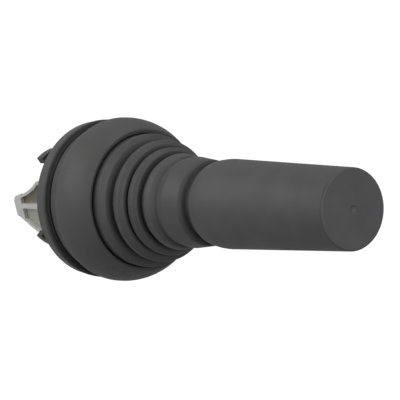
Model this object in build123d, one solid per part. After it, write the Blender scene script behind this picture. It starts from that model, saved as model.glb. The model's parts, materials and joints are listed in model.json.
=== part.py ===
"""Panel joystick operator: a round grip on a sprung cardan lever that works four pushers.

The frame has +Z along the lever at rest, towards the grip.  The origin is on that axis, in the
plane of the panel's front face, where the bezel seats.  Everything below z = 0 passes through
the panel hole.
"""
import os
from math import cos, radians, sin, tan

from build123d import *

# ---------------------------------------------------------------- driving dimensions (mm)
# Panel interface
NECK_R = 11.1  # barrel that passes through the standard 22.5 mm panel hole
NECK_WALL = 1.3
NECK_LENGTH = 4.4
KEYWAY_WIDTH = 3.0  # anti-rotation groove along the neck
KEYWAY_DEPTH = 0.5

# Cup and bezel above the panel
CUP_FLARE = 1.1  # the cup is this much wider than the neck
CUP_HEIGHT = 6.8
FLANGE_LEDGE = 0.8
BEZEL_WIDTH = 1.87
BEZEL_HEIGHT = 2.6
BEZEL_EDGE = 0.35
BEZEL_DRAFT = 0.4  # the rim is this much smaller at the panel
STEP_RING_WIDTH = 0.9
STEP_RING_HEIGHT = 0.3
GASKET_WIDTH = 1.0
GASKET_DEPTH = 0.6
GASKET_INSET = 0.3  # from the flange's edge

# Cardan bearing
PIVOT_Z = 2.4
TILT_DEG = 15.0
RUNNING_GAP = 0.03  # radial clearance of a pin that turns in its bush
RING_GAP = 0.4  # between gimbal ring and cup bore
RING_THICKNESS = 1.2
RING_HEIGHT = 2.4
GIMBAL_PIN_R = 0.8
GIMBAL_BUSH_WALL = 0.5
CROSS_PIN_R = 0.75
CROSS_BUSH_WALL = 0.3

# Lever
SHAFT_R = 2.2
SHAFT_TAIL = 0.8  # below the hub
SHAFT_IN_GRIP = 20.0
HUB_WALL = 1.3
HUB_HALF = 2.1
ARM_R = 1.15
BALL_R = 1.35
BALL_SETBACK = 2.2  # from the gimbal ring's bore to the centre of a ball end
CLIP_WIDTH = 1.1
CLIP_THICKNESS = 0.5
CLIP_GROOVE = 0.3
CLIP_MOUTH = 2.6

# Pushers
WINDOW_GAP = 0.2
HEAD_WALL = 0.9
HEAD_THICKNESS = 1.6
STEM_HALF_WIDTH = 2.0
BLADE_SETBACK = 0.7  # inner face of head, stem and blade, inside the ball's centre
BLADE_THICKNESS = 1.2
BLADE_CLEARANCE = 0.3  # between the shoulders of neighbouring blades
BLADE_DROP = 2.1  # from the guide plate's rear face to the blade's shoulders
BLADE_LENGTH = 9.4
SHOULDER_HEIGHT = 1.1
TIP_HALF_WIDTH = 2.1
TIP_LENGTH = 0.6  # straight side of the tip before the straight flare
HOLLOW_START = 1.75  # from the tip to the start of the hollow flare
HOLLOW_DEPTH = 0.45
TIP_ROUND = 0.5
TIP_HOLLOW_ROUND = 1.4
FLARE_DEG = 33.0
BLADE_RIM = 0.55
TIP_RIM = 2.2
BLADE_POCKET = 0.8
RIB_WIDTH = 1.0
NOSE_LENGTH = 3.2  # of the side pushers, which have no blade
NOSE_ROUND = 0.5
SLIDE_GAP = 0.12

# Guide plate behind the neck
GUIDE_RIM_THICKNESS = 1.4
GUIDE_LIP_THICKNESS = 1.0
GUIDE_LIP_WIDTH = 1.4
GUIDE_BOSS_GAP = 0.1
GUIDE_BOSS_LENGTH = 3.0
GUIDE_HOLE_R = 2.4

# Bayonet lugs at the rear end
LUG_WALL = 0.7
LUG_LENGTH = 6.5
LUG_SPAN_DEG = 22.0
LUG_COUNT = 3
LUG_FIRST_DEG = -47.0
LUG_HOOK_HEIGHT = 1.6
LUG_HOOK_DEPTH = 0.6

# Gate, spring and its seats
GATE_THICKNESS = 1.4
GATE_GAP = 0.25
GATE_CORNER = 1.6
SCREW_COUNT = 4
SCREW_R = 0.6
SCREW_HEAD_R = 1.1
SCREW_HEAD_HEIGHT = 1.0
SCREW_DEPTH = 3.0
SPRING_WIRE_R = 0.45
SPRING_LAND = 0.35  # from the seat's hole to the inside of the coil
SPRING_TURNS = 5
SEAT_THICKNESS = 0.8
SEAT_RIM = 0.95
CAP_Z = 23.0
CAP_THICKNESS = 1.0
CAP_RIM = 0.1
NUT_FLATS = 9.6
NUT_HEIGHT = 4.0

# Boot: foot, domed skirt, folds and collar
FOOT_WALL = 1.1
CLAMP_WALL = 0.6
CLAMP_HEIGHT = 1.2
LIP_HEIGHT = 2.9  # of the skirt's lower edge over the bezel's step
LIP_DROP = 0.45
DOME_OVERHANG = 0.43  # of the skirt over the bezel
DOME_RISE = 2.3  # from the lip to the widest point
DOME_ARC_R = 11.0
DOME_SHOULDER = 5.9  # from the widest point to the shoulder
DOME_WALL = 1.1
RIM_RISE = 0.55
RIM_LAND = 0.33
RIM_ROUND = 0.35
FOLD_WALL = 0.75
FOLD_DROP = 0.5
CREST_ROUND = 0.7
LEDGE_ROUND = 0.35
VALLEY_ROUND = 0.22
GROOVE_WIDTH = 0.48  # between the skirt's rim and the first fold
GROOVE_LEAN = 0.13
# Radii of the later folds, as shares of the step from the collar out to the first crest
VALLEY_SHARES = [0.5, 0.278, 0.044, -0.144]
CREST_SHARES = [0.656, 0.433, 0.144]
LEDGE_SHARES = [0.233, 0.178, 0.156, 0.133]  # top of each fold, from its crest to its inner edge
VALLEY_Z = [13.5, 16.3, 20.2, 22.6, 27.0]
CREST_Z = [16.4, 20.3, 22.7, 26.2]
LEDGE_RISE = 0.6
COLLAR_WALL = 1.45
COLLAR_BASE_Z = 30.3
COLLAR_HEIGHT = 3.6
COLLAR_TAPER = 0.4
COLLAR_ROUND = 0.6
SLEEVE_GAP = 0.2  # between the spring cap's edge and the sleeve's outer radius
SLEEVE_STEP = 0.8

# Grip
GRIP_GAP = 2.0  # length of sleeve that shows between collar and grip
GRIP_LENGTH = 37.1
GRIP_MAX_R = 8.2
GRIP_FLARE = 0.7  # the base is this much smaller than the widest radius
GRIP_FLARE_HEIGHT = 4.6
GRIP_BASE_ROUND = 1.3
GRIP_TAPER = 0.79
GRIP_EDGE = 0.45
INSERT_WALL = 1.4
INSERT_LENGTH = 18.0
INSERT_GROOVES = 4
INSERT_GROOVE_DEPTH = 0.3
DIMPLE_R = 0.75
DIMPLE_DEPTH = 0.3

# ---------------------------------------------------------------- sizes that follow
NECK_BORE_R = NECK_R - NECK_WALL
CUP_R = NECK_R + CUP_FLARE
BEZEL_BORE_R = CUP_R + FLANGE_LEDGE
BEZEL_R = BEZEL_BORE_R + BEZEL_WIDTH
GASKET_R = BEZEL_BORE_R - GASKET_INSET
RING_OUTER_R = NECK_BORE_R - RING_GAP
RING_INNER_R = RING_OUTER_R - RING_THICKNESS
BALL_REACH = RING_INNER_R - BALL_SETBACK  # from the lever axis to the centre of a ball end
HUB_R = SHAFT_R + HUB_WALL
CLIP_R = SHAFT_R + CLIP_WIDTH
CLIP_Z = PIVOT_Z - HUB_HALF - CLIP_THICKNESS
CUP_TOP_Z = CUP_HEIGHT
GATE_TOP_Z = CUP_TOP_Z + GATE_THICKNESS
SEAT_TOP_Z = GATE_TOP_Z + SEAT_THICKNESS
SCREW_CIRCLE_R = (NECK_BORE_R + CUP_R) / 2
NUT_BASE_Z = CAP_Z + CAP_THICKNESS
SLEEVE_BASE_Z = NUT_BASE_Z + NUT_HEIGHT
TILT = radians(TILT_DEG)


def lean_at(height):
    """Furthest sideways move of the shaft's axis along X or Y, at a height over the pivot."""
    return height * tan(TILT) / cos(TILT)


# The gate stops the shaft along X and Y; the seat's round hole clears it on a diagonal too.
SHAFT_LEAN_R = SHAFT_R / cos(TILT) ** 2
GATE_HALF = lean_at(GATE_TOP_Z - PIVOT_Z) + SHAFT_LEAN_R + GATE_GAP
SEAT_LEAN = SEAT_TOP_Z - PIVOT_Z
SEAT_HOLE_R = (lean_at(SEAT_LEAN) ** 2 + (SEAT_LEAN * tan(TILT)) ** 2) ** 0.5 + SHAFT_LEAN_R
SPRING_MEAN_R = SEAT_HOLE_R + SPRING_LAND + SPRING_WIRE_R
SEAT_R = SPRING_MEAN_R + SPRING_WIRE_R + SEAT_RIM
CAP_R = SPRING_MEAN_R + SPRING_WIRE_R + CAP_RIM
SLEEVE_R = CAP_R + SLEEVE_GAP
SLEEVE_NECK_R = SLEEVE_R - SLEEVE_STEP

# Pushers and what guides them
SIDE_SWAY = BALL_REACH * sin(TILT) ** 2  # how far a ball end drifts sideways on a diagonal
WINDOW_HALF_WIDTH = BALL_R + SIDE_SWAY + WINDOW_GAP
WINDOW_HALF_HEIGHT = BALL_R + WINDOW_GAP
NECK_END_Z = -NECK_LENGTH
GUIDE_SEAT_Z = NECK_END_Z + GUIDE_LIP_THICKNESS
LUG_INNER_R = NECK_BORE_R - GUIDE_LIP_WIDTH
LUG_OUTER_R = LUG_INNER_R + LUG_WALL + LUG_HOOK_DEPTH
LUG_END_Z = NECK_END_Z - LUG_LENGTH
GUIDE_BOSS_R = LUG_INNER_R - GUIDE_BOSS_GAP
BLADE_INNER = BALL_REACH - BLADE_SETBACK
BLADE_OUTER = BLADE_INNER + BLADE_THICKNESS
BLADE_HALF_WIDTH = BLADE_INNER - BLADE_CLEARANCE
BLADE_TOP_Z = GUIDE_SEAT_Z - GUIDE_BOSS_LENGTH - BLADE_DROP
BLADE_TIP_Z = BLADE_TOP_Z - BLADE_LENGTH
BLADE_FLARE_Z = BLADE_TOP_Z - SHOULDER_HEIGHT
TURNS = [("right", 90), ("back", 180), ("left", 270), ("front", 0)]
BLADED = ("front", "back")

# Boot
FOOT_Z = BEZEL_HEIGHT + STEP_RING_HEIGHT
FOOT_R = CUP_R + FOOT_WALL
CLAMP_R = FOOT_R + CLAMP_WALL
LIP_Z = FOOT_Z + LIP_HEIGHT
DOME_MAX_R = BEZEL_R + DOME_OVERHANG
DOME_MAX_Z = LIP_Z + DOME_RISE
DOME_CENTRE_R = DOME_MAX_R - DOME_ARC_R
SHOULDER_Z = DOME_MAX_Z + DOME_SHOULDER
SHOULDER_R = DOME_CENTRE_R + (DOME_ARC_R**2 - DOME_SHOULDER**2) ** 0.5
RIM_Z = SHOULDER_Z + RIM_RISE
RIM_OUTER_R = SHOULDER_R - RIM_RISE * DOME_SHOULDER / (SHOULDER_R - DOME_CENTRE_R)
RIM_R = RIM_OUTER_R - RIM_LAND
COLLAR_BASE_R = SLEEVE_R + COLLAR_WALL
COLLAR_TOP_R = COLLAR_BASE_R - COLLAR_TAPER
COLLAR_TOP_Z = COLLAR_BASE_Z + COLLAR_HEIGHT
GROOVE_R = RIM_R - GROOVE_WIDTH
FIRST_CREST_R = GROOVE_R + GROOVE_LEAN
FOLD_SPAN = FIRST_CREST_R - COLLAR_BASE_R
VALLEY_R = [GROOVE_R] + [COLLAR_BASE_R + share * FOLD_SPAN for share in VALLEY_SHARES]
CREST_R = [FIRST_CREST_R] + [COLLAR_BASE_R + share * FOLD_SPAN for share in CREST_SHARES]

# Grip
GRIP_BASE_Z = COLLAR_TOP_Z + GRIP_GAP
GRIP_END_Z = GRIP_BASE_Z + GRIP_LENGTH
GRIP_END_R = GRIP_MAX_R - GRIP_TAPER
INSERT_R = SHAFT_R + INSERT_WALL


def ring(outer_r, inner_r, low_z, high_z):
    """A plain ring or tube about the lever axis."""
    tube = Cylinder(outer_r, high_z - low_z) - Cylinder(inner_r, high_z - low_z)
    return Pos(0, 0, (low_z + high_z) / 2) * tube


def disc(radius, low_z, high_z):
    """A plain disc about the lever axis."""
    return Pos(0, 0, (low_z + high_z) / 2) * Cylinder(radius, high_z - low_z)


def radial_rod(radius, start, end, turn_deg, height):
    """A rod along a radius, turned about the lever axis from +X."""
    rod = Pos((start + end) / 2, 0, height) * Rot(0, 90, 0) * Cylinder(radius, end - start)
    return Rot(0, 0, turn_deg) * rod


def spun(*edges):
    """The solid that a closed outline in the XZ plane sweeps about the lever axis."""
    return revolve(make_face(Curve() + list(edges)), Axis.Z)


def at(radius, height):
    """A point of an outline, on its way round the lever axis."""
    return (radius, 0, height)


# ---------------------------------------------------------------- housing
def mounting_body():
    """Neck, flange and cup in one moulding, with the keyway, the rear lip and the bayonet lugs."""
    body = ring(NECK_R, NECK_BORE_R, NECK_END_Z, 0)
    body += ring(NECK_R, LUG_INNER_R, NECK_END_Z, GUIDE_SEAT_Z)
    body += ring(BEZEL_BORE_R, NECK_BORE_R, 0, BEZEL_HEIGHT)
    body += ring(CUP_R, NECK_BORE_R, 0, CUP_TOP_Z)
    body -= Pos(0, NECK_R, -NECK_LENGTH / 2) * Box(KEYWAY_WIDTH, 2 * KEYWAY_DEPTH, NECK_LENGTH)
    body -= ring(GASKET_R, GASKET_R - GASKET_WIDTH, 0, GASKET_DEPTH)
    for number in range(LUG_COUNT):
        body += Rot(0, 0, LUG_FIRST_DEG + number * 360 / LUG_COUNT) * lug()
    bush_r = GIMBAL_PIN_R + RUNNING_GAP + GIMBAL_BUSH_WALL
    for turn in (0, 180):
        body -= radial_rod(bush_r, NECK_BORE_R - 1, BEZEL_BORE_R, turn, PIVOT_Z)
    for number in range(SCREW_COUNT):
        hole = Pos(SCREW_CIRCLE_R, 0, CUP_TOP_Z - SCREW_DEPTH / 2) * Cylinder(SCREW_R, SCREW_DEPTH)
        body -= Rot(0, 0, screw_turn(number)) * hole
    return body


def lug():
    """One bayonet lug: an arc of wall with an outward hook at its end, centred on +X."""
    wall = ring(LUG_OUTER_R, LUG_INNER_R, LUG_END_Z, NECK_END_Z)
    notch_z = LUG_END_Z + LUG_HOOK_HEIGHT
    waist = ring(LUG_OUTER_R, LUG_OUTER_R - LUG_HOOK_DEPTH, notch_z, NECK_END_Z)
    half = LUG_SPAN_DEG / 2
    reach = 2 * LUG_OUTER_R
    wedge = make_face(
        Polyline(
            (0, 0),
            (reach * cos(radians(half)), -reach * sin(radians(half))),
            (reach * cos(radians(half)), reach * sin(radians(half))),
            close=True,
        )
    )
    prism = Pos(0, 0, LUG_END_Z) * extrude(wedge, NECK_END_Z - LUG_END_Z)
    return (wall - waist) & prism


def screw_turn(number):
    return 45 + number * 360 / SCREW_COUNT


def bezel_ring():
    """Front trim ring on the flange, drafted towards the panel, with a low inner step."""
    rim = Cone(BEZEL_R - BEZEL_DRAFT, BEZEL_R, BEZEL_HEIGHT)
    rim = fillet(rim.edges().group_by(Axis.Z)[-1], BEZEL_EDGE)
    rim = Pos(0, 0, BEZEL_HEIGHT / 2) * rim - disc(BEZEL_BORE_R, 0, BEZEL_HEIGHT)
    return rim + ring(BEZEL_BORE_R + STEP_RING_WIDTH, BEZEL_BORE_R, BEZEL_HEIGHT, FOOT_Z)


def panel_gasket():
    return ring(GASKET_R, GASKET_R - GASKET_WIDTH, 0, GASKET_DEPTH)


def bearing_bushes():
    """Two bushes in the cup wall, on the X axis."""
    bore_r = GIMBAL_PIN_R + RUNNING_GAP
    end_r = (CUP_R**2 - (bore_r + GIMBAL_BUSH_WALL) ** 2) ** 0.5
    bushes = []
    for turn in (0, 180):
        bush = radial_rod(bore_r + GIMBAL_BUSH_WALL, NECK_BORE_R, end_r, turn, PIVOT_Z)
        bushes.append(bush - radial_rod(bore_r, NECK_BORE_R - 1, CUP_R + 1, turn, PIVOT_Z))
    return Compound(bushes)


def gate_plate():
    """Plate across the cup whose square opening limits the lever both ways."""
    plate = disc(CUP_R, CUP_TOP_Z, GATE_TOP_Z)
    opening = extrude(RectangleRounded(2 * GATE_HALF, 2 * GATE_HALF, GATE_CORNER), GATE_THICKNESS)
    plate -= Pos(0, 0, CUP_TOP_Z) * opening
    for number in range(SCREW_COUNT):
        hole = Pos(SCREW_CIRCLE_R, 0, CUP_TOP_Z + GATE_THICKNESS / 2) * Cylinder(SCREW_R, GATE_THICKNESS)
        plate -= Rot(0, 0, screw_turn(number)) * hole
    return plate


def gate_screws():
    """Screws that hold the gate plate on the cup."""
    length = GATE_THICKNESS + SCREW_DEPTH
    shank = Pos(SCREW_CIRCLE_R, 0, GATE_TOP_Z - length / 2) * Cylinder(SCREW_R, length)
    head_z = GATE_TOP_Z + SCREW_HEAD_HEIGHT / 2
    head = Pos(SCREW_CIRCLE_R, 0, head_z) * Cylinder(SCREW_HEAD_R, SCREW_HEAD_HEIGHT)
    screw = shank + head
    return Compound([Rot(0, 0, screw_turn(number)) * screw for number in range(SCREW_COUNT)])


def spring_seat():
    """Seat ring under the centring spring."""
    return ring(SEAT_R, SEAT_HOLE_R, GATE_TOP_Z, SEAT_TOP_Z)


def centring_spring():
    """Closed coil spring between the seat ring and the cap on the shaft."""
    low = SEAT_TOP_Z + SPRING_WIRE_R
    height = CAP_Z - SPRING_WIRE_R - low
    path = Helix(height / SPRING_TURNS, height, SPRING_MEAN_R)
    start = Plane(origin=path @ 0, z_dir=path % 0)
    coil = sweep(start * Circle(SPRING_WIRE_R), path, is_frenet=True)
    return Pos(0, 0, low) * coil


def guide_plate():
    """Rear plate that guides the four pusher stems."""
    plate = disc(NECK_BORE_R, GUIDE_SEAT_Z, GUIDE_SEAT_Z + GUIDE_RIM_THICKNESS)
    plate += disc(GUIDE_BOSS_R, GUIDE_SEAT_Z - GUIDE_BOSS_LENGTH, GUIDE_SEAT_Z)
    depth = GUIDE_RIM_THICKNESS + GUIDE_BOSS_LENGTH
    middle = GUIDE_SEAT_Z + (GUIDE_RIM_THICKNESS - GUIDE_BOSS_LENGTH) / 2
    slot = Box(2 * (STEM_HALF_WIDTH + SLIDE_GAP), BLADE_THICKNESS + 2 * SLIDE_GAP, depth)
    for _, turn in TURNS:
        plate -= Rot(0, 0, turn) * Pos(0, -(BLADE_INNER + BLADE_OUTER) / 2, middle) * slot
    return plate - Pos(0, 0, middle) * Cylinder(GUIDE_HOLE_R, depth)


# ---------------------------------------------------------------- boot
def dome_r(height, wall=0.0):
    """Radius of the skirt at a height, on its outer face or a wall's thickness inside it."""
    return DOME_CENTRE_R + ((DOME_ARC_R - wall) ** 2 - (height - DOME_MAX_Z) ** 2) ** 0.5


def boot_outer():
    """Outer outline of the boot, from the foot up to the collar."""
    lip_r = dome_r(LIP_Z)
    under_z = LIP_Z - LIP_DROP
    foot = Polyline(
        at(CUP_R, FOOT_Z),
        at(FOOT_R, FOOT_Z),
        at(FOOT_R, under_z),
        at(lip_r - LIP_DROP / 2, under_z),
        at(lip_r, LIP_Z),
    )
    dome = ThreePointArc(at(lip_r, LIP_Z), at(DOME_MAX_R, DOME_MAX_Z), at(SHOULDER_R, SHOULDER_Z))
    points = [at(SHOULDER_R, SHOULDER_Z), at(RIM_OUTER_R, RIM_Z), at(RIM_R, RIM_Z)]
    radii = [RIM_ROUND, RIM_ROUND / 2]
    for index, (crest_r, crest_z) in enumerate(zip(CREST_R, CREST_Z)):
        points.append(at(VALLEY_R[index], VALLEY_Z[index]))
        points.append(at(crest_r, crest_z))
        points.append(at(crest_r - LEDGE_SHARES[index] * FOLD_SPAN, crest_z + LEDGE_RISE))
        radii += [VALLEY_ROUND, CREST_ROUND, LEDGE_ROUND]
    points += [at(VALLEY_R[-1], VALLEY_Z[-1]), at(COLLAR_BASE_R, COLLAR_BASE_Z)]
    points += [at(COLLAR_TOP_R, COLLAR_TOP_Z), at(SLEEVE_R, COLLAR_TOP_Z)]
    radii += [VALLEY_ROUND, CREST_ROUND, COLLAR_ROUND]
    return [foot, dome, FilletPolyline(*points, radius=radii)]


def boot_inner():
    """Inner outline of the boot, from the collar down to the foot."""
    top_z = VALLEY_Z[0] - FOLD_WALL
    top_r = dome_r(top_z, DOME_WALL)
    low_r = dome_r(CUP_TOP_Z, DOME_WALL)
    points = [at(SLEEVE_R, COLLAR_TOP_Z), at(SLEEVE_R, VALLEY_Z[-1] + FOLD_WALL)]
    for index in reversed(range(len(VALLEY_R))):
        points.append(at(VALLEY_R[index] - FOLD_WALL, VALLEY_Z[index] - 2 * FOLD_DROP))
        if index:
            points.append(at(CREST_R[index - 1] - FOLD_WALL, CREST_Z[index - 1] - FOLD_DROP))
    points.append(at(top_r, top_z))
    folds = Polyline(*points)
    middle = at(DOME_MAX_R - DOME_WALL, DOME_MAX_Z)
    dome = ThreePointArc(at(top_r, top_z), middle, at(low_r, CUP_TOP_Z))
    hem_z = CUP_TOP_Z - (low_r - CUP_R) / 2
    foot = Polyline(at(low_r, CUP_TOP_Z), at(CUP_R, hem_z), at(CUP_R, FOOT_Z))
    return [folds, dome, foot]


def boot():
    """Rubber boot: foot on the cup, domed skirt, shrinking folds and a collar on the sleeve."""
    return spun(*boot_outer(), *boot_inner())


def boot_clamp_ring():
    """Ring that holds the boot's foot on the cup."""
    middle = (FOOT_Z + LIP_Z - LIP_DROP) / 2
    return ring(CLAMP_R, FOOT_R, middle - CLAMP_HEIGHT / 2, middle + CLAMP_HEIGHT / 2)


# ---------------------------------------------------------------- gimbal
def gimbal_ring():
    low_z = PIVOT_Z - RING_HEIGHT / 2
    body = ring(RING_OUTER_R, RING_INNER_R, low_z, low_z + RING_HEIGHT)
    bush_r = CROSS_PIN_R + RUNNING_GAP + CROSS_BUSH_WALL
    for turn in (0, 180):
        body -= radial_rod(GIMBAL_PIN_R, RING_INNER_R - 1, RING_OUTER_R + 1, turn, PIVOT_Z)
        body -= radial_rod(bush_r, RING_INNER_R - 1, RING_OUTER_R + 1, turn + 90, PIVOT_Z)
    return body


def gimbal_pins():
    """Two pins pressed into the ring, turning in the cup's bushes."""
    return Compound(
        [radial_rod(GIMBAL_PIN_R, RING_INNER_R, CUP_R - RING_GAP, turn, PIVOT_Z) for turn in (0, 180)]
    )


def ring_bushes():
    """Two bushes pressed into the ring, on the Y axis."""
    bore_r = CROSS_PIN_R + RUNNING_GAP
    bushes = []
    for turn in (90, 270):
        bush = radial_rod(bore_r + CROSS_BUSH_WALL, RING_INNER_R, RING_OUTER_R, turn, PIVOT_Z)
        bushes.append(bush - radial_rod(bore_r, RING_INNER_R - 1, RING_OUTER_R + 1, turn, PIVOT_Z))
    return Compound(bushes)


# ---------------------------------------------------------------- lever
def rocker():
    """Hub on the shaft with four ball-ended arms, one for each pusher."""
    body = disc(HUB_R, PIVOT_Z - HUB_HALF, PIVOT_Z + HUB_HALF)
    for _, turn in TURNS:
        body += radial_rod(ARM_R, SHAFT_R, BALL_REACH, turn, PIVOT_Z)
        body += Rot(0, 0, turn) * Pos(BALL_REACH, 0, PIVOT_Z) * Sphere(BALL_R)
    body -= disc(SHAFT_R, PIVOT_Z - HUB_HALF, PIVOT_Z + HUB_HALF)
    return body - cross_pin()


def cross_pin():
    """Pin through hub and shaft; its ends turn in the ring's bushes."""
    half = RING_OUTER_R
    return Pos(0, 0, PIVOT_Z) * Rot(90, 0, 0) * Cylinder(CROSS_PIN_R, 2 * half)


def lever_shaft():
    """Steel shaft with the clip groove and the cross hole."""
    shaft = disc(SHAFT_R, CLIP_Z - SHAFT_TAIL, GRIP_BASE_Z + SHAFT_IN_GRIP)
    shaft -= ring(SHAFT_R, SHAFT_R - CLIP_GROOVE, CLIP_Z, CLIP_Z + CLIP_THICKNESS)
    return shaft - cross_pin()


def retaining_clip():
    """Open clip under the hub."""
    clip = ring(CLIP_R, SHAFT_R - CLIP_GROOVE, CLIP_Z, CLIP_Z + CLIP_THICKNESS)
    mouth = Pos(CLIP_R, 0, CLIP_Z + CLIP_THICKNESS / 2) * Box(2 * CLIP_R, CLIP_MOUTH, CLIP_THICKNESS)
    return clip - mouth


def spring_cap():
    """Washer that carries the top of the spring."""
    return ring(CAP_R, SHAFT_R, CAP_Z, NUT_BASE_Z)


def locknut():
    """Hexagon nut that locks the sleeve and the grip."""
    hexagon = RegularPolygon(NUT_FLATS / 2, 6, major_radius=False)
    nut = Pos(0, 0, NUT_BASE_Z) * extrude(hexagon, NUT_HEIGHT)
    return nut - disc(SHAFT_R, NUT_BASE_Z, SLEEVE_BASE_Z)


def boot_sleeve():
    """Sleeve that carries the boot's collar and shows as the neck under the grip."""
    step_z = SLEEVE_BASE_Z + FOLD_WALL
    body = ring(SLEEVE_R, SHAFT_R, step_z, COLLAR_TOP_Z)
    body += ring(SLEEVE_NECK_R, SHAFT_R, SLEEVE_BASE_Z, step_z)
    return body + ring(SLEEVE_NECK_R, SHAFT_R, COLLAR_TOP_Z, GRIP_BASE_Z)


def grip_insert():
    """Grooved metal insert moulded into the grip."""
    top_z = GRIP_BASE_Z + INSERT_LENGTH
    body = ring(INSERT_R, SHAFT_R, GRIP_BASE_Z, top_z)
    pitch = INSERT_LENGTH / (INSERT_GROOVES + 1)
    for number in range(1, INSERT_GROOVES + 1):
        middle = GRIP_BASE_Z + number * pitch
        body -= ring(INSERT_R, INSERT_R - INSERT_GROOVE_DEPTH, middle - pitch / 4, middle + pitch / 4)
    return body


def grip():
    """Tapered round grip, drawn in at its base, with a flat end and a small dimple in it."""
    base_r = GRIP_MAX_R - GRIP_FLARE
    widest = at(GRIP_MAX_R, GRIP_BASE_Z + GRIP_FLARE_HEIGHT)
    side = Polyline(at(0, GRIP_END_Z), at(GRIP_END_R, GRIP_END_Z), widest)
    flare = TangentArc(widest, at(base_r, GRIP_BASE_Z), tangent=(0, 0, -1))
    base = Polyline(at(base_r, GRIP_BASE_Z), at(0, GRIP_BASE_Z), at(0, GRIP_END_Z))
    body = spun(side, flare, base)
    body = fillet(body.edges().group_by(Axis.Z)[0], GRIP_BASE_ROUND)
    body = fillet(body.edges().filter_by(GeomType.CIRCLE).group_by(Axis.Z)[-1], GRIP_EDGE)
    body -= disc(INSERT_R, GRIP_BASE_Z, GRIP_BASE_Z + INSERT_LENGTH)
    body -= disc(SHAFT_R, GRIP_BASE_Z, GRIP_BASE_Z + SHAFT_IN_GRIP)
    ball_r = (DIMPLE_R**2 + DIMPLE_DEPTH**2) / (2 * DIMPLE_DEPTH)
    return body - Pos(0, 0, GRIP_END_Z + ball_r - DIMPLE_DEPTH) * Sphere(ball_r)


# ---------------------------------------------------------------- pushers
def blade_face():
    """Outline of the pusher's blade: one side flares straight, the other in a hollow curve."""
    straight_z = BLADE_TIP_Z + TIP_LENGTH
    hollow_z = BLADE_TIP_Z + HOLLOW_START
    side = BLADE_HALF_WIDTH - TIP_HALF_WIDTH
    right = Polyline(
        at(-TIP_HALF_WIDTH, BLADE_TIP_Z),
        at(TIP_HALF_WIDTH, BLADE_TIP_Z),
        at(TIP_HALF_WIDTH, straight_z),
        at(BLADE_HALF_WIDTH, straight_z + side / tan(radians(FLARE_DEG))),
        at(BLADE_HALF_WIDTH, BLADE_TOP_Z),
        at(-BLADE_HALF_WIDTH, BLADE_TOP_Z),
        at(-BLADE_HALF_WIDTH, BLADE_FLARE_Z),
    )
    middle_x = HOLLOW_DEPTH - (TIP_HALF_WIDTH + BLADE_HALF_WIDTH) / 2
    hollow = ThreePointArc(
        at(-BLADE_HALF_WIDTH, BLADE_FLARE_Z),
        at(middle_x, (BLADE_FLARE_Z + hollow_z) / 2),
        at(-TIP_HALF_WIDTH, hollow_z),
    )
    left = Line(at(-TIP_HALF_WIDTH, hollow_z), at(-TIP_HALF_WIDTH, BLADE_TIP_Z))
    return make_face(Curve() + [right, hollow, left])


def blade():
    """Blade of the front and back pushers, with a pocket that leaves a rim and a middle rib."""
    body = extrude(Pos(0, -BLADE_INNER, 0) * blade_face(), BLADE_THICKNESS, dir=(0, -1, 0))
    corners = body.edges().filter_by(Axis.Y).group_by(Axis.Z)[0].sort_by(Axis.X)
    body = fillet(corners[0], TIP_HOLLOW_ROUND)
    corners = body.edges().filter_by(Axis.Y).group_by(Axis.Z)[0].sort_by(Axis.X)
    body = fillet(corners[-1], TIP_ROUND)
    pocket = offset(Pos(0, -BLADE_OUTER, 0) * blade_face(), -BLADE_RIM)
    pocket = extrude(pocket, BLADE_POCKET, dir=(0, 1, 0))
    rib_z = BLADE_TIP_Z + TIP_RIM
    rib_height = BLADE_TOP_Z - rib_z
    rib = Pos(0, -BLADE_OUTER, rib_z + rib_height / 2) * Box(RIB_WIDTH, 2 * BLADE_POCKET, rib_height)
    tip_rim = Pos(0, -BLADE_OUTER, BLADE_TIP_Z) * Box(2 * BLADE_HALF_WIDTH, 2 * BLADE_POCKET, 2 * TIP_RIM)
    return body - (pocket - rib - tip_rim)


def nose():
    """Plain end of the side pushers."""
    middle = Pos(0, -(BLADE_INNER + BLADE_OUTER) / 2, BLADE_TOP_Z - NOSE_LENGTH / 2)
    body = middle * Box(2 * STEM_HALF_WIDTH, BLADE_THICKNESS, NOSE_LENGTH)
    return fillet(body.edges().filter_by(Axis.Y).group_by(Axis.Z)[0], NOSE_ROUND)


def pusher(end):
    """The pusher on the -Y side: window head, stem and a blade or a nose."""
    head_half_height = WINDOW_HALF_HEIGHT + HEAD_WALL
    head_at = Pos(0, -(BLADE_INNER + HEAD_THICKNESS / 2), PIVOT_Z)
    head = Box(2 * (WINDOW_HALF_WIDTH + HEAD_WALL), HEAD_THICKNESS, 2 * head_half_height)
    window = Box(2 * WINDOW_HALF_WIDTH, 2 * HEAD_THICKNESS, 2 * WINDOW_HALF_HEIGHT)
    stem_height = PIVOT_Z - head_half_height - BLADE_TOP_Z
    stem_at = Pos(0, -(BLADE_INNER + BLADE_OUTER) / 2, BLADE_TOP_Z + stem_height / 2)
    stem = Box(2 * STEM_HALF_WIDTH, BLADE_THICKNESS, stem_height)
    return head_at * (head - window) + stem_at * stem + end


# ---------------------------------------------------------------- write the pieces
PIECES = {
    "mounting_body": mounting_body,
    "bezel_ring": bezel_ring,
    "panel_gasket": panel_gasket,
    "bearing_bushes": bearing_bushes,
    "gate_plate": gate_plate,
    "gate_screws": gate_screws,
    "spring_seat": spring_seat,
    "centring_spring": centring_spring,
    "guide_plate": guide_plate,
    "boot": boot,
    "boot_clamp_ring": boot_clamp_ring,
    "gimbal_ring": gimbal_ring,
    "gimbal_pins": gimbal_pins,
    "ring_bushes": ring_bushes,
    "rocker": rocker,
    "cross_pin": cross_pin,
    "lever_shaft": lever_shaft,
    "retaining_clip": retaining_clip,
    "spring_cap": spring_cap,
    "locknut": locknut,
    "boot_sleeve": boot_sleeve,
    "grip_insert": grip_insert,
    "grip": grip,
}

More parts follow.
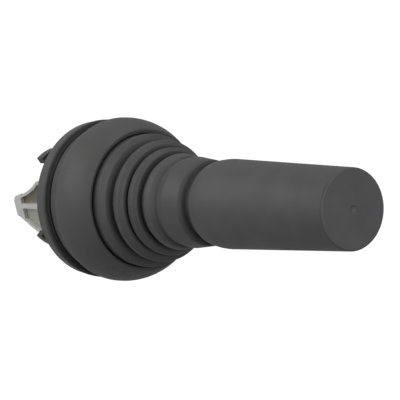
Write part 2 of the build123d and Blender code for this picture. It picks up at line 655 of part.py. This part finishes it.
os.makedirs("parts", exist_ok=True)
for name, make in PIECES.items():
    export_step(make(), f"parts/{name}.step")
for side, turn in TURNS:
    end = blade() if side in BLADED else nose()
    export_step(Rot(0, 0, turn) * pusher(end), f"parts/pusher_{side}.step")
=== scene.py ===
"""Looks of the panel joystick operator: rubber boot, moulded grip, bezel and milky pushers.

The scene is in metres in the row frame: +Z runs along the lever towards the grip, and z = 0 is
the panel's front face. The boot, spring and camera are set out in millimetres and scaled once.
"""
import json
import math

import bpy
from mathutils import Matrix, Vector


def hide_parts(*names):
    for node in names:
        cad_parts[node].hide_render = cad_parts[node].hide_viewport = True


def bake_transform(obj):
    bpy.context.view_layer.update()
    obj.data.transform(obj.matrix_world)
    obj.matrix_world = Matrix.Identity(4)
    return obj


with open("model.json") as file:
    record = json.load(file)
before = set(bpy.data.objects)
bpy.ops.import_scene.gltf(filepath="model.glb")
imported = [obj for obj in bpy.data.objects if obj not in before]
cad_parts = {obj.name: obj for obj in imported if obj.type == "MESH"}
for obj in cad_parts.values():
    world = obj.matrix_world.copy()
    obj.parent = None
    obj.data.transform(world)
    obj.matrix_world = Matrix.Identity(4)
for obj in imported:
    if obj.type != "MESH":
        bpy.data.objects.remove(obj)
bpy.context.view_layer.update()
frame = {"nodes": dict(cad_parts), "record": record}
MM = 0.001

# ---------------------------------------------------------------- sizes of the boot (mm)
CUP_R = 12.2
FOOT_Z = 2.9
FOOT_R = 13.3
FLANK_BASE = (14.04, 4.75)  # radius and height, just above the clamp ring
FLANK_TOP_Z = 6.7
DOME_MAX_R = 15.3
DOME_MAX_Z = 8.1
DOME_ARC_R = 11.0
DOME_START_Z = 8.9  # where the dome's arc takes over from the rounded flank
SHOULDER_Z = 14.0
DOME_STEPS = 14
RIM = (13.235, 14.55)
RIM_DROP = (12.515, 14.2)
GROOVE = (12.2, 13.5)
GROOVE_INSIDE = (11.8, 12.75)
SKIRT_WALL = 1.1
ROLL_INSIDE_Z = 12.75
SKIRT_INSIDE_Z = (12.0, 11.0, 9.5, 8.0, 6.8)
FOOT_TOP_Z = 6.0
# corners above the groove, as radius, height and rounding: a crest, a ledge, a valley and a brow
# for each fold, and at the end the collar and the step in to its lip
FOLDS = [
    (12.4, 16.2, 0.5),
    (11.4, 16.8, 0.3),
    (9.75, 17.0, 0.15),
    (11.15, 19.0, 0.8),
    (11.3, 20.2, 0.5),
    (10.4, 20.9, 0.3),
    (9.0, 20.5, 0.15),
    (9.9, 21.6, 0.6),
    (9.95, 22.8, 0.5),
    (9.3, 23.4, 0.3),
    (7.8, 22.9, 0.15),
    (8.9, 25.0, 0.8),
    (8.75, 26.5, 0.6),
    (8.4, 27.2, 0.3),
    (7.95, 27.5, 0.2),
    (8.4, 29.5, 0.9),
    (7.9, 33.9, 0.7),
    (6.5, 34.2, 0.4),
]
# corners of the inner face, from the collar down
FOLDS_INSIDE = [
    (6.5, 27.8, 0),
    (6.7, 26.4, 0.3),
    (7.7, 25.6, 0.3),
    (7.3, 22.3, 0.3),
    (8.75, 22.0, 0.3),
    (8.5, 19.9, 0.3),
    (9.8, 19.6, 0.3),
    (9.3, 16.2, 0.3),
    (11.6, 15.6, 0.3),
]
NECK_R = 5.8
SLEEVE_R = 6.5
SLEEVE_TOP_Z = 33.8
COLLAR_LIP = (6.35, 35.4)
SEGMENTS = 256

# ---------------------------------------------------------------- centring spring (mm)
SPRING_R = 5.7
WIRE_R = 0.45
SPRING_LOW = 9.45
SPRING_HIGH = 22.55
SPRING_TURNS = 5
SPRING_PITCH = (SPRING_HIGH - SPRING_LOW) / SPRING_TURNS
SPRING_BEND_Z = 12.6  # the wire is split here into a lower stretch by the gimbal ring and an upper one by the lever
WIRE_SIDES = 12
STEPS_PER_TURN = 40

# ---------------------------------------------------------------- camera (mm and degrees)
VIEW_AZIMUTH = -20.0
VIEW_TILT = 38.0  # between the lever and the line of sight
VIEW_ROLL = 2.6
VIEW_DISTANCE = 800.0
SENSOR = 36.0
LENS = 385.2  # the frame is 74.8 mm wide at the view's distance
AIM_RIGHT = 14.02  # from the skirt's widest line to the middle of the frame
AIM_DOWN = 0.17

# ---------------------------------------------------------------- looks
# dark tone, light tone, roughness, grain scale and grain depth in metres
MOULDINGS = {
    "boot_rubber": ((0.086, 0.085, 0.084), (0.098, 0.097, 0.096), 0.52, 5200, 0.00002),
    "grip_plastic": ((0.096, 0.0965, 0.1), (0.11, 0.1105, 0.114), 0.55, 7000, 0.000025),
    "black_moulding": ((0.085, 0.085, 0.086), (0.1, 0.1, 0.101), 0.45, 6000, 0.000015),
    "seal_rubber": ((0.02, 0.02, 0.02), (0.03, 0.03, 0.03), 0.7, 5000, 0.00002),
    "bearing_plastic": ((0.55, 0.52, 0.45), (0.6, 0.57, 0.5), 0.45, 6000, 0.00001),
}
# tone, roughness and how far the tool lines are stretched along each axis
METALS = {
    "steel": ((0.56, 0.56, 0.57), 0.3, (1, 1, 12)),
    "spring_steel": ((0.42, 0.42, 0.44), 0.35, (4, 4, 4)),
    "brass": ((0.66, 0.5, 0.24), 0.3, (1, 1, 12)),
}
MILKY_TONES = ((0.88, 0.885, 0.84), (0.93, 0.935, 0.9))
# recessed floors' dark and light tone: partly the dark inside showing through, partly painted shade
# that makes the -X side darker
SEE_THROUGH_AND_SHADE_TONES = ((0.28, 0.255, 0.175), (0.62, 0.62, 0.53))
# distances from the lever axis in metres: a blade's thin floor lies below them and its face above
FLOOR_TO_FACE = (0.0057, 0.00585)
PAINTED_SHADE_HALF_WIDTH = 0.003  # painted shade: the thin floors turn from dark on the -X side to light on the +X side over this far each side of X = 0
CLOUD_SCALE = 220
MILKY_CLOUD_SCALE = 400
TOOL_LINE_SCALE = 900
MOULDING_GLOSS_SPREAD = 0.07
METAL_GLOSS_SPREAD = 0.08

# ---------------------------------------------------------------- stage and light (metres)
FLOOR_Z = -0.05
FLOOR_SIZE = 6
FLOOR_TONE = 0.8
FLOOR_GLOW = 1.1
FLOOR_GLOW_SHARE = 0.9
SURROUND_LIGHT = 0.1
PART_MIDDLE = Vector((0, 0, 0.03))
SKIRT_MIDDLE = Vector((0, 0, 0.012))


def new_piece(name, points, faces):
    """Smooth mesh object from (x, y, z) points in mm; only many-sided end caps stay flat."""
    mesh = bpy.data.meshes.new(name)
    mesh.from_pydata([(x * MM, y * MM, z * MM) for x, y, z in points], [], faces)
    mesh.update()
    for face in mesh.polygons:
        face.use_smooth = len(face.vertices) == 4
    piece = bpy.data.objects.new(name, mesh)
    bpy.context.collection.objects.link(piece)
    return piece


def lathe(name, outline):
    """A closed shell turned about the lever axis from a closed outline of (r, z) points in mm."""
    count = len(outline)
    points, faces = [], []
    for step in range(SEGMENTS):
        angle = 2 * math.pi * step / SEGMENTS
        c, s = math.cos(angle), math.sin(angle)
        points += [(r * c, r * s, z) for r, z in outline]
        here, there = step * count, (step + 1) % SEGMENTS * count
        for i in range(count):
            j = (i + 1) % count
            faces.append((here + i, there + i, there + j, here + j))
    return new_piece(name, points, faces)


def rounded(points, steps=7):
    """Corners (r, z, radius) as one polyline, each corner rounded by a curve close to an arc."""
    most = 0.49  # share of a side that one corner may take
    least = 1e-4
    line = []
    for before, here, after in zip(points, points[1:], points[2:]):
        corner = Vector(here[:2])
        back, on = Vector(before[:2]) - corner, Vector(after[:2]) - corner
        reach = here[2] / math.tan(back.angle(on) / 2) if here[2] else 0.0
        reach = min(reach, most * back.length, most * on.length)
        if reach < least:
            line.append(tuple(corner))
            continue
        start, end = corner + back.normalized() * reach, corner + on.normalized() * reach
        for step in range(steps + 1):
            t = step / steps
            line.append(tuple(start * (1 - t) ** 2 + corner * 2 * t * (1 - t) + end * t * t))
    return [tuple(points[0][:2])] + line + [tuple(points[-1][:2])]


def dome_r(height, wall=0.0):
    """Radius of the domed skirt at a height, on its outer face or a wall's thickness inside it."""
    arc_r = DOME_ARC_R - wall
    return DOME_MAX_R - DOME_ARC_R + math.sqrt(arc_r**2 - (height - DOME_MAX_Z) ** 2)


def skirt_outline():
    """Foot, straight flank, domed skirt and the inward roll down into the first groove."""
    outer = [(CUP_R, FOOT_Z, 0), (FOOT_R, FOOT_Z, 0), (FOOT_R, FLANK_BASE[1], 0.15)]
    outer += [(*FLANK_BASE, 0.12), (DOME_MAX_R, FLANK_TOP_Z, 3.5)]
    rise = (SHOULDER_Z - DOME_START_Z) / DOME_STEPS
    heights = [DOME_START_Z + i * rise for i in range(DOME_STEPS + 1)]
    outer += [(dome_r(z), z, 0) for z in heights]
    outer += [(*RIM, 0.3), (*RIM_DROP, 0.25), (*GROOVE, 0)]
    inner = [(*GROOVE_INSIDE, 0), (dome_r(ROLL_INSIDE_Z, SKIRT_WALL), ROLL_INSIDE_Z, 0.2)]
    inner += [(dome_r(z, SKIRT_WALL), z, 0) for z in SKIRT_INSIDE_Z]
    inner += [(CUP_R, FOOT_TOP_Z, 0), (CUP_R, FOOT_Z, 0)]
    line = rounded(outer) + rounded(inner)
    return line[:-1]


def folds_outline():
    """Shrinking folds from the groove up to the collar that grips the sleeve."""
    outer = [(*GROOVE, 0), *FOLDS, (*COLLAR_LIP, 0.3), (NECK_R, COLLAR_LIP[1], 0)]
    inner = [(NECK_R, SLEEVE_TOP_Z, 0), (SLEEVE_R, SLEEVE_TOP_Z, 0), *FOLDS_INSIDE]
    inner += [(*GROOVE_INSIDE, 0)]
    return rounded(outer) + rounded(inner)


# ---------------------------------------------------------------- materials
def new_material(name):
    """A node material with its nodes, its links and its shader."""
    material = bpy.data.materials.new(name)
    material.use_nodes = True
    nodes = material.node_tree.nodes
    return material, nodes, material.node_tree.links, nodes["Principled BSDF"]


def noise(nodes, links, scale, detail=2.0, roughness=0.5, stretch=(1, 1, 1)):
    """Noise in object coordinates, where 1 unit is a metre."""
    where = nodes.new("ShaderNodeTexCoord")
    place = nodes.new("ShaderNodeMapping")
    place.inputs["Scale"].default_value = stretch
    texture = nodes.new("ShaderNodeTexNoise")
    texture.inputs["Scale"].default_value = scale
    texture.inputs["Detail"].default_value = detail
    texture.inputs["Roughness"].default_value = roughness
    links.new(where.outputs["Object"], place.inputs["Vector"])
    links.new(place.outputs["Vector"], texture.inputs["Vector"])
    return texture.outputs["Fac"]


def spread(nodes, links, value, low, high, low_in=0.3, high_in=0.7):
    """Maps a value between two limits to a range, and holds it at the range's ends."""
    node = nodes.new("ShaderNodeMapRange")
    node.inputs["From Min"].default_value = low_in
    node.inputs["From Max"].default_value = high_in
    node.inputs["To Min"].default_value = low
    node.inputs["To Max"].default_value = high
    links.new(value, node.inputs["Value"])
    return node.outputs["Result"]


def two_tones(nodes, links, value, dark, light):
    """Colour that runs from dark to light over the middle of a 0 to 1 pattern."""
    ramp = nodes.new("ShaderNodeValToRGB")
    ramp.color_ramp.elements[0].position = 0.3
    ramp.color_ramp.elements[1].position = 0.7
    ramp.color_ramp.elements[0].color = (*dark, 1)
    ramp.color_ramp.elements[1].color = (*light, 1)
    links.new(value, ramp.inputs["Fac"])
    return ramp.outputs["Color"]


def add_bump(nodes, links, value, strength, distance):
    """Relief of a pattern, with its full depth in metres."""
    node = nodes.new("ShaderNodeBump")
    node.inputs["Strength"].default_value = strength
    node.inputs["Distance"].default_value = distance
    links.new(value, node.inputs["Height"])
    return node.outputs["Normal"]


def matt_moulding(name, dark, light, rough, grain_scale, grain_depth):
    """Moulded plastic or rubber: faint cloudy tone, spark-eroded grain and uneven gloss."""
    material, nodes, links, shader = new_material(name)
    cloud = noise(nodes, links, CLOUD_SCALE, 3)
    grain = noise(nodes, links, grain_scale, 2, 0.6)
    links.new(two_tones(nodes, links, cloud, dark, light), shader.inputs["Base Color"])
    smooth, dull = rough - MOULDING_GLOSS_SPREAD, rough + MOULDING_GLOSS_SPREAD
    links.new(spread(nodes, links, grain, smooth, dull), shader.inputs["Roughness"])
    links.new(add_bump(nodes, links, grain, 0.5, grain_depth), shader.inputs["Normal"])
    shader.inputs["Specular IOR Level"].default_value = 0.5
    return material


def metal(name, colour, rough, stretch):
    """Turned or drawn metal: fine tool lines and a light variation of gloss."""
    material, nodes, links, shader = new_material(name)
    lines = noise(nodes, links, TOOL_LINE_SCALE, 2, 0.5, stretch)
    darker = tuple(c * 0.86 for c in colour)
    links.new(two_tones(nodes, links, lines, darker, colour), shader.inputs["Base Color"])
    smooth, dull = rough - METAL_GLOSS_SPREAD, rough + METAL_GLOSS_SPREAD
    links.new(spread(nodes, links, lines, smooth, dull), shader.inputs["Roughness"])
    links.new(add_bump(nodes, links, lines, 0.25, 0.00001), shader.inputs["Normal"])
    shader.inputs["Metallic"].default_value = 1.0
    return material


def mixed_colour(nodes, links, share, first, second):
    """The first colour where the share is 0 and the second where it is 1."""
    node = nodes.new("ShaderNodeMix")
    node.data_type = "RGBA"
    low, high = (socket for socket in node.inputs if socket.type == "RGBA")
    links.new(share, node.inputs["Factor"])
    links.new(first, low)
    links.new(second, high)
    return next(socket for socket in node.outputs if socket.type == "RGBA")


def blade_place(nodes, links):
    """0 on a blade's recessed floor and 1 on its face, and a 0 to 1 mask over X for the floors'
    painted shade.
    """
    where = nodes.new("ShaderNodeTexCoord")
    apart = nodes.new("ShaderNodeSeparateXYZ")
    links.new(where.outputs["Object"], apart.inputs[0])
    furthest = nodes.new("ShaderNodeMath")
    furthest.operation = "MAXIMUM"
    for axis, socket in zip("XY", furthest.inputs):
        side = nodes.new("ShaderNodeMath")
        side.operation = "ABSOLUTE"
        links.new(apart.outputs[axis], side.inputs[0])
        links.new(side.outputs[0], socket)
    face = spread(nodes, links, furthest.outputs[0], 0, 1, *FLOOR_TO_FACE)
    painted_shade_across = spread(nodes, links, apart.outputs["X"], 0, 1, -PAINTED_SHADE_HALF_WIDTH, PAINTED_SHADE_HALF_WIDTH)
    return face, painted_shade_across


def milky_plastic(name):
    """Translucent white pusher plastic; its slim recessed floors are darker where the dark inside
    shows through, with painted shade that darkens them further towards -X.
    """
    material, nodes, links, shader = new_material(name)
    cloud = noise(nodes, links, MILKY_CLOUD_SCALE, 2)
    face, painted_shade_across = blade_place(nodes, links)
    solid = two_tones(nodes, links, cloud, *MILKY_TONES)
    # painted shade: the recessed floors run from dark on the -X side to light on the +X side
    see_through_and_shade = two_tones(nodes, links, painted_shade_across, *SEE_THROUGH_AND_SHADE_TONES)
    links.new(mixed_colour(nodes, links, face, see_through_and_shade, solid), shader.inputs["Base Color"])
    links.new(spread(nodes, links, cloud, 0.3, 0.42), shader.inputs["Roughness"])
    shader.inputs["Subsurface Weight"].default_value = 0.2
    shader.inputs["Subsurface Radius"].default_value = (1.0, 1.0, 0.9)
    shader.inputs["Subsurface Scale"].default_value = 0.0006
    shader.inputs["Transmission Weight"].default_value = 0.12
    shader.inputs["IOR"].default_value = 1.49
    return material


def make_materials():
    """One procedural material for each slot of the record."""
    made = {name: matt_moulding(name, *look) for name, look in MOULDINGS.items()}
    made.update({name: metal(name, *look) for name, look in METALS.items()})
    made["pusher_plastic"] = milky_plastic("pusher_plastic")
    return made


def dress_nodes(materials):
    """Gives each CAD node the procedural material of its record slot."""
    slots = {part["node"]: part["material_slot"] for part in frame["record"]["subparts"]}
    for name, node in frame["nodes"].items():
        node.data.materials.clear()
        node.data.materials.append(materials[slots[name]])


def make_boot(material):
    """Two shells that meet in the groove over the skirt, in place of the hidden CAD boot."""
    skirt = lathe("boot_skirt", skirt_outline())
    folds = lathe("boot_folds", folds_outline())
    for piece in (skirt, folds):
        piece.data.materials.append(material)
        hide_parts("boot")
    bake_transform(skirt)
    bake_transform(folds)


def coil(name, low, high):
    """One stretch of the centring spring's wire, as a closed tube along its helix."""
    steps = round((high - low) / SPRING_PITCH * STEPS_PER_TURN)
    points, faces = [], []
    for step in range(steps + 1):
        height = low + (high - low) * step / steps
        angle = 2 * math.pi * (height - SPRING_LOW) / SPRING_PITCH
        for side in range(WIRE_SIDES):
            turn = 2 * math.pi * side / WIRE_SIDES
            r = SPRING_R + WIRE_R * math.cos(turn)
            points.append((r * math.cos(angle), r * math.sin(angle), height + WIRE_R * math.sin(turn)))
    for step in range(steps):
        for side in range(WIRE_SIDES):
            here = step * WIRE_SIDES + side
            there = step * WIRE_SIDES + (side + 1) % WIRE_SIDES
            faces.append((here, there, there + WIRE_SIDES, here + WIRE_SIDES))
    faces.append(tuple(reversed(range(WIRE_SIDES))))
    faces.append(tuple(steps * WIRE_SIDES + side for side in range(WIRE_SIDES)))
    return new_piece(name, points, faces)


def make_spring(material):
    """The spring's wire in two stretches split at SPRING_BEND_Z, in place of the hidden CAD spring."""
    lower = coil("spring_lower", SPRING_LOW, SPRING_BEND_Z)
    upper = coil("spring_upper", SPRING_BEND_Z, SPRING_HIGH)
    for piece in (lower, upper):
        piece.data.materials.append(material)
        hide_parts("centring_spring")
    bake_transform(lower)
    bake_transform(upper)


# ---------------------------------------------------------------- stage, light and camera
def make_stage():
    """Pale floor that reads plain white to the camera, with next to no shadow on it."""
    bpy.ops.mesh.primitive_plane_add(size=FLOOR_SIZE, location=(0, 0, FLOOR_Z))
    floor = bpy.context.object
    floor.name = "floor"
    material, nodes, links, shader = new_material("pale_floor")
    shader.inputs["Base Color"].default_value = (FLOOR_TONE, FLOOR_TONE, FLOOR_TONE, 1)
    shader.inputs["Roughness"].default_value = 0.9
    glow = nodes.new("ShaderNodeEmission")
    glow.inputs["Strength"].default_value = FLOOR_GLOW
    path = nodes.new("ShaderNodeLightPath")
    mix = nodes.new("ShaderNodeMixShader")
    seen = nodes.new("ShaderNodeMath")
    seen.operation = "MULTIPLY"
    seen.inputs[1].default_value = FLOOR_GLOW_SHARE
    links.new(path.outputs["Is Camera Ray"], seen.inputs[0])
    links.new(seen.outputs[0], mix.inputs["Fac"])
    links.new(shader.outputs[0], mix.inputs[1])
    links.new(glow.outputs[0], mix.inputs[2])
    links.new(mix.outputs[0], nodes["Material Output"].inputs["Surface"])
    floor.data.materials.append(material)


def make_world():
    """Even white surroundings: dim as a light, plain white to the camera and through the plastic."""
    world = bpy.data.worlds.new("studio")
    world.use_nodes = True
    bpy.context.scene.world = world
    nodes, links = world.node_tree.nodes, world.node_tree.links
    back = nodes["Background"]
    back.inputs["Color"].default_value = (1, 1, 1, 1)
    path = nodes.new("ShaderNodeLightPath")
    most = nodes.new("ShaderNodeMath")
    most.operation = "MAXIMUM"
    links.new(path.outputs["Is Camera Ray"], most.inputs[0])
    links.new(path.outputs["Is Transmission Ray"], most.inputs[1])
    strength = nodes.new("ShaderNodeMapRange")
    strength.inputs["To Min"].default_value = SURROUND_LIGHT
    strength.inputs["To Max"].default_value = 1.0
    links.new(most.outputs[0], strength.inputs["Value"])
    links.new(strength.outputs["Result"], back.inputs["Strength"])


def soft_light(name, place, target, size, power):
    """Square lamp that faces a target, with its size in metres and its power in watts."""
    lamp = bpy.data.lights.new(name, "AREA")
    lamp.shape = "SQUARE"
    lamp.size = size
    lamp.energy = power
    holder = bpy.data.objects.new(name, lamp)
    bpy.context.collection.objects.link(holder)
    holder.location = place
    holder.rotation_euler = (target - place).to_track_quat("-Z", "Y").to_euler()


def view_axes():
    """Right, down and towards-camera directions of the view, before its roll."""
    turn = math.radians(VIEW_AZIMUTH - 90)
    tilt = math.radians(VIEW_TILT)
    side = Vector((math.cos(turn), math.sin(turn), 0))
    up = Vector((0, 0, 1))
    towards = up * math.cos(tilt) + side * math.sin(tilt)
    right = up * math.sin(tilt) - side * math.cos(tilt)
    return right, up.cross(side), towards


def make_camera():
    """Long lens that looks along the view with the whole part in the frame."""
    right, down, towards = view_axes()
    roll = math.radians(VIEW_ROLL)
    image_right = right * math.cos(roll) - down * math.sin(roll)
    image_down = right * math.sin(roll) + down * math.cos(roll)
    middle = Vector((0, 0, DOME_MAX_Z))
    place = middle + towards * VIEW_DISTANCE
    target = middle + image_right * AIM_RIGHT + image_down * AIM_DOWN
    forward = (target - place).normalized()
    x_axis = (image_right - forward * image_right.dot(forward)).normalized()
    y_axis = x_axis.cross(forward)
    data = bpy.data.cameras.new("camera")
    data.sensor_width = SENSOR
    data.lens = LENS
    data.clip_start, data.clip_end = 0.01, 20
    camera = bpy.data.objects.new("camera", data)
    bpy.context.collection.objects.link(camera)
    turn = Matrix((x_axis, y_axis, -forward)).transposed().to_4x4()
    camera.matrix_world = Matrix.Translation(place * MM) @ turn
    bpy.context.scene.camera = camera


def make_lights():
    """Two large lamps for the whole part and two small ones that favour the skirt and blades."""
    right, down, towards = view_axes()
    tilt = math.radians(VIEW_TILT)
    outward = towards * math.sin(tilt) - right * math.cos(tilt)
    front = PART_MIDDLE + towards * 0.7 + right * 0.4 - down * 0.1
    top = PART_MIDDLE - down * 0.7 + towards * 0.1 + right * 0.1
    side = PART_MIDDLE - right * 0.12 - down * 0.05
    near = SKIRT_MIDDLE + outward * 0.13
    soft_light("front", front, PART_MIDDLE, size=0.6, power=3.3)
    soft_light("top", top, PART_MIDDLE, size=0.6, power=1.2)
    soft_light("side", side, PART_MIDDLE, size=0.08, power=0.045)
    soft_light("near", near, SKIRT_MIDDLE, size=0.08, power=0.02)


materials = make_materials()
dress_nodes(materials)
make_boot(materials["boot_rubber"])
make_spring(materials["spring_steel"])
make_stage()
make_world()
make_camera()
make_lights()
bpy.context.scene.view_settings.view_transform = "Standard"
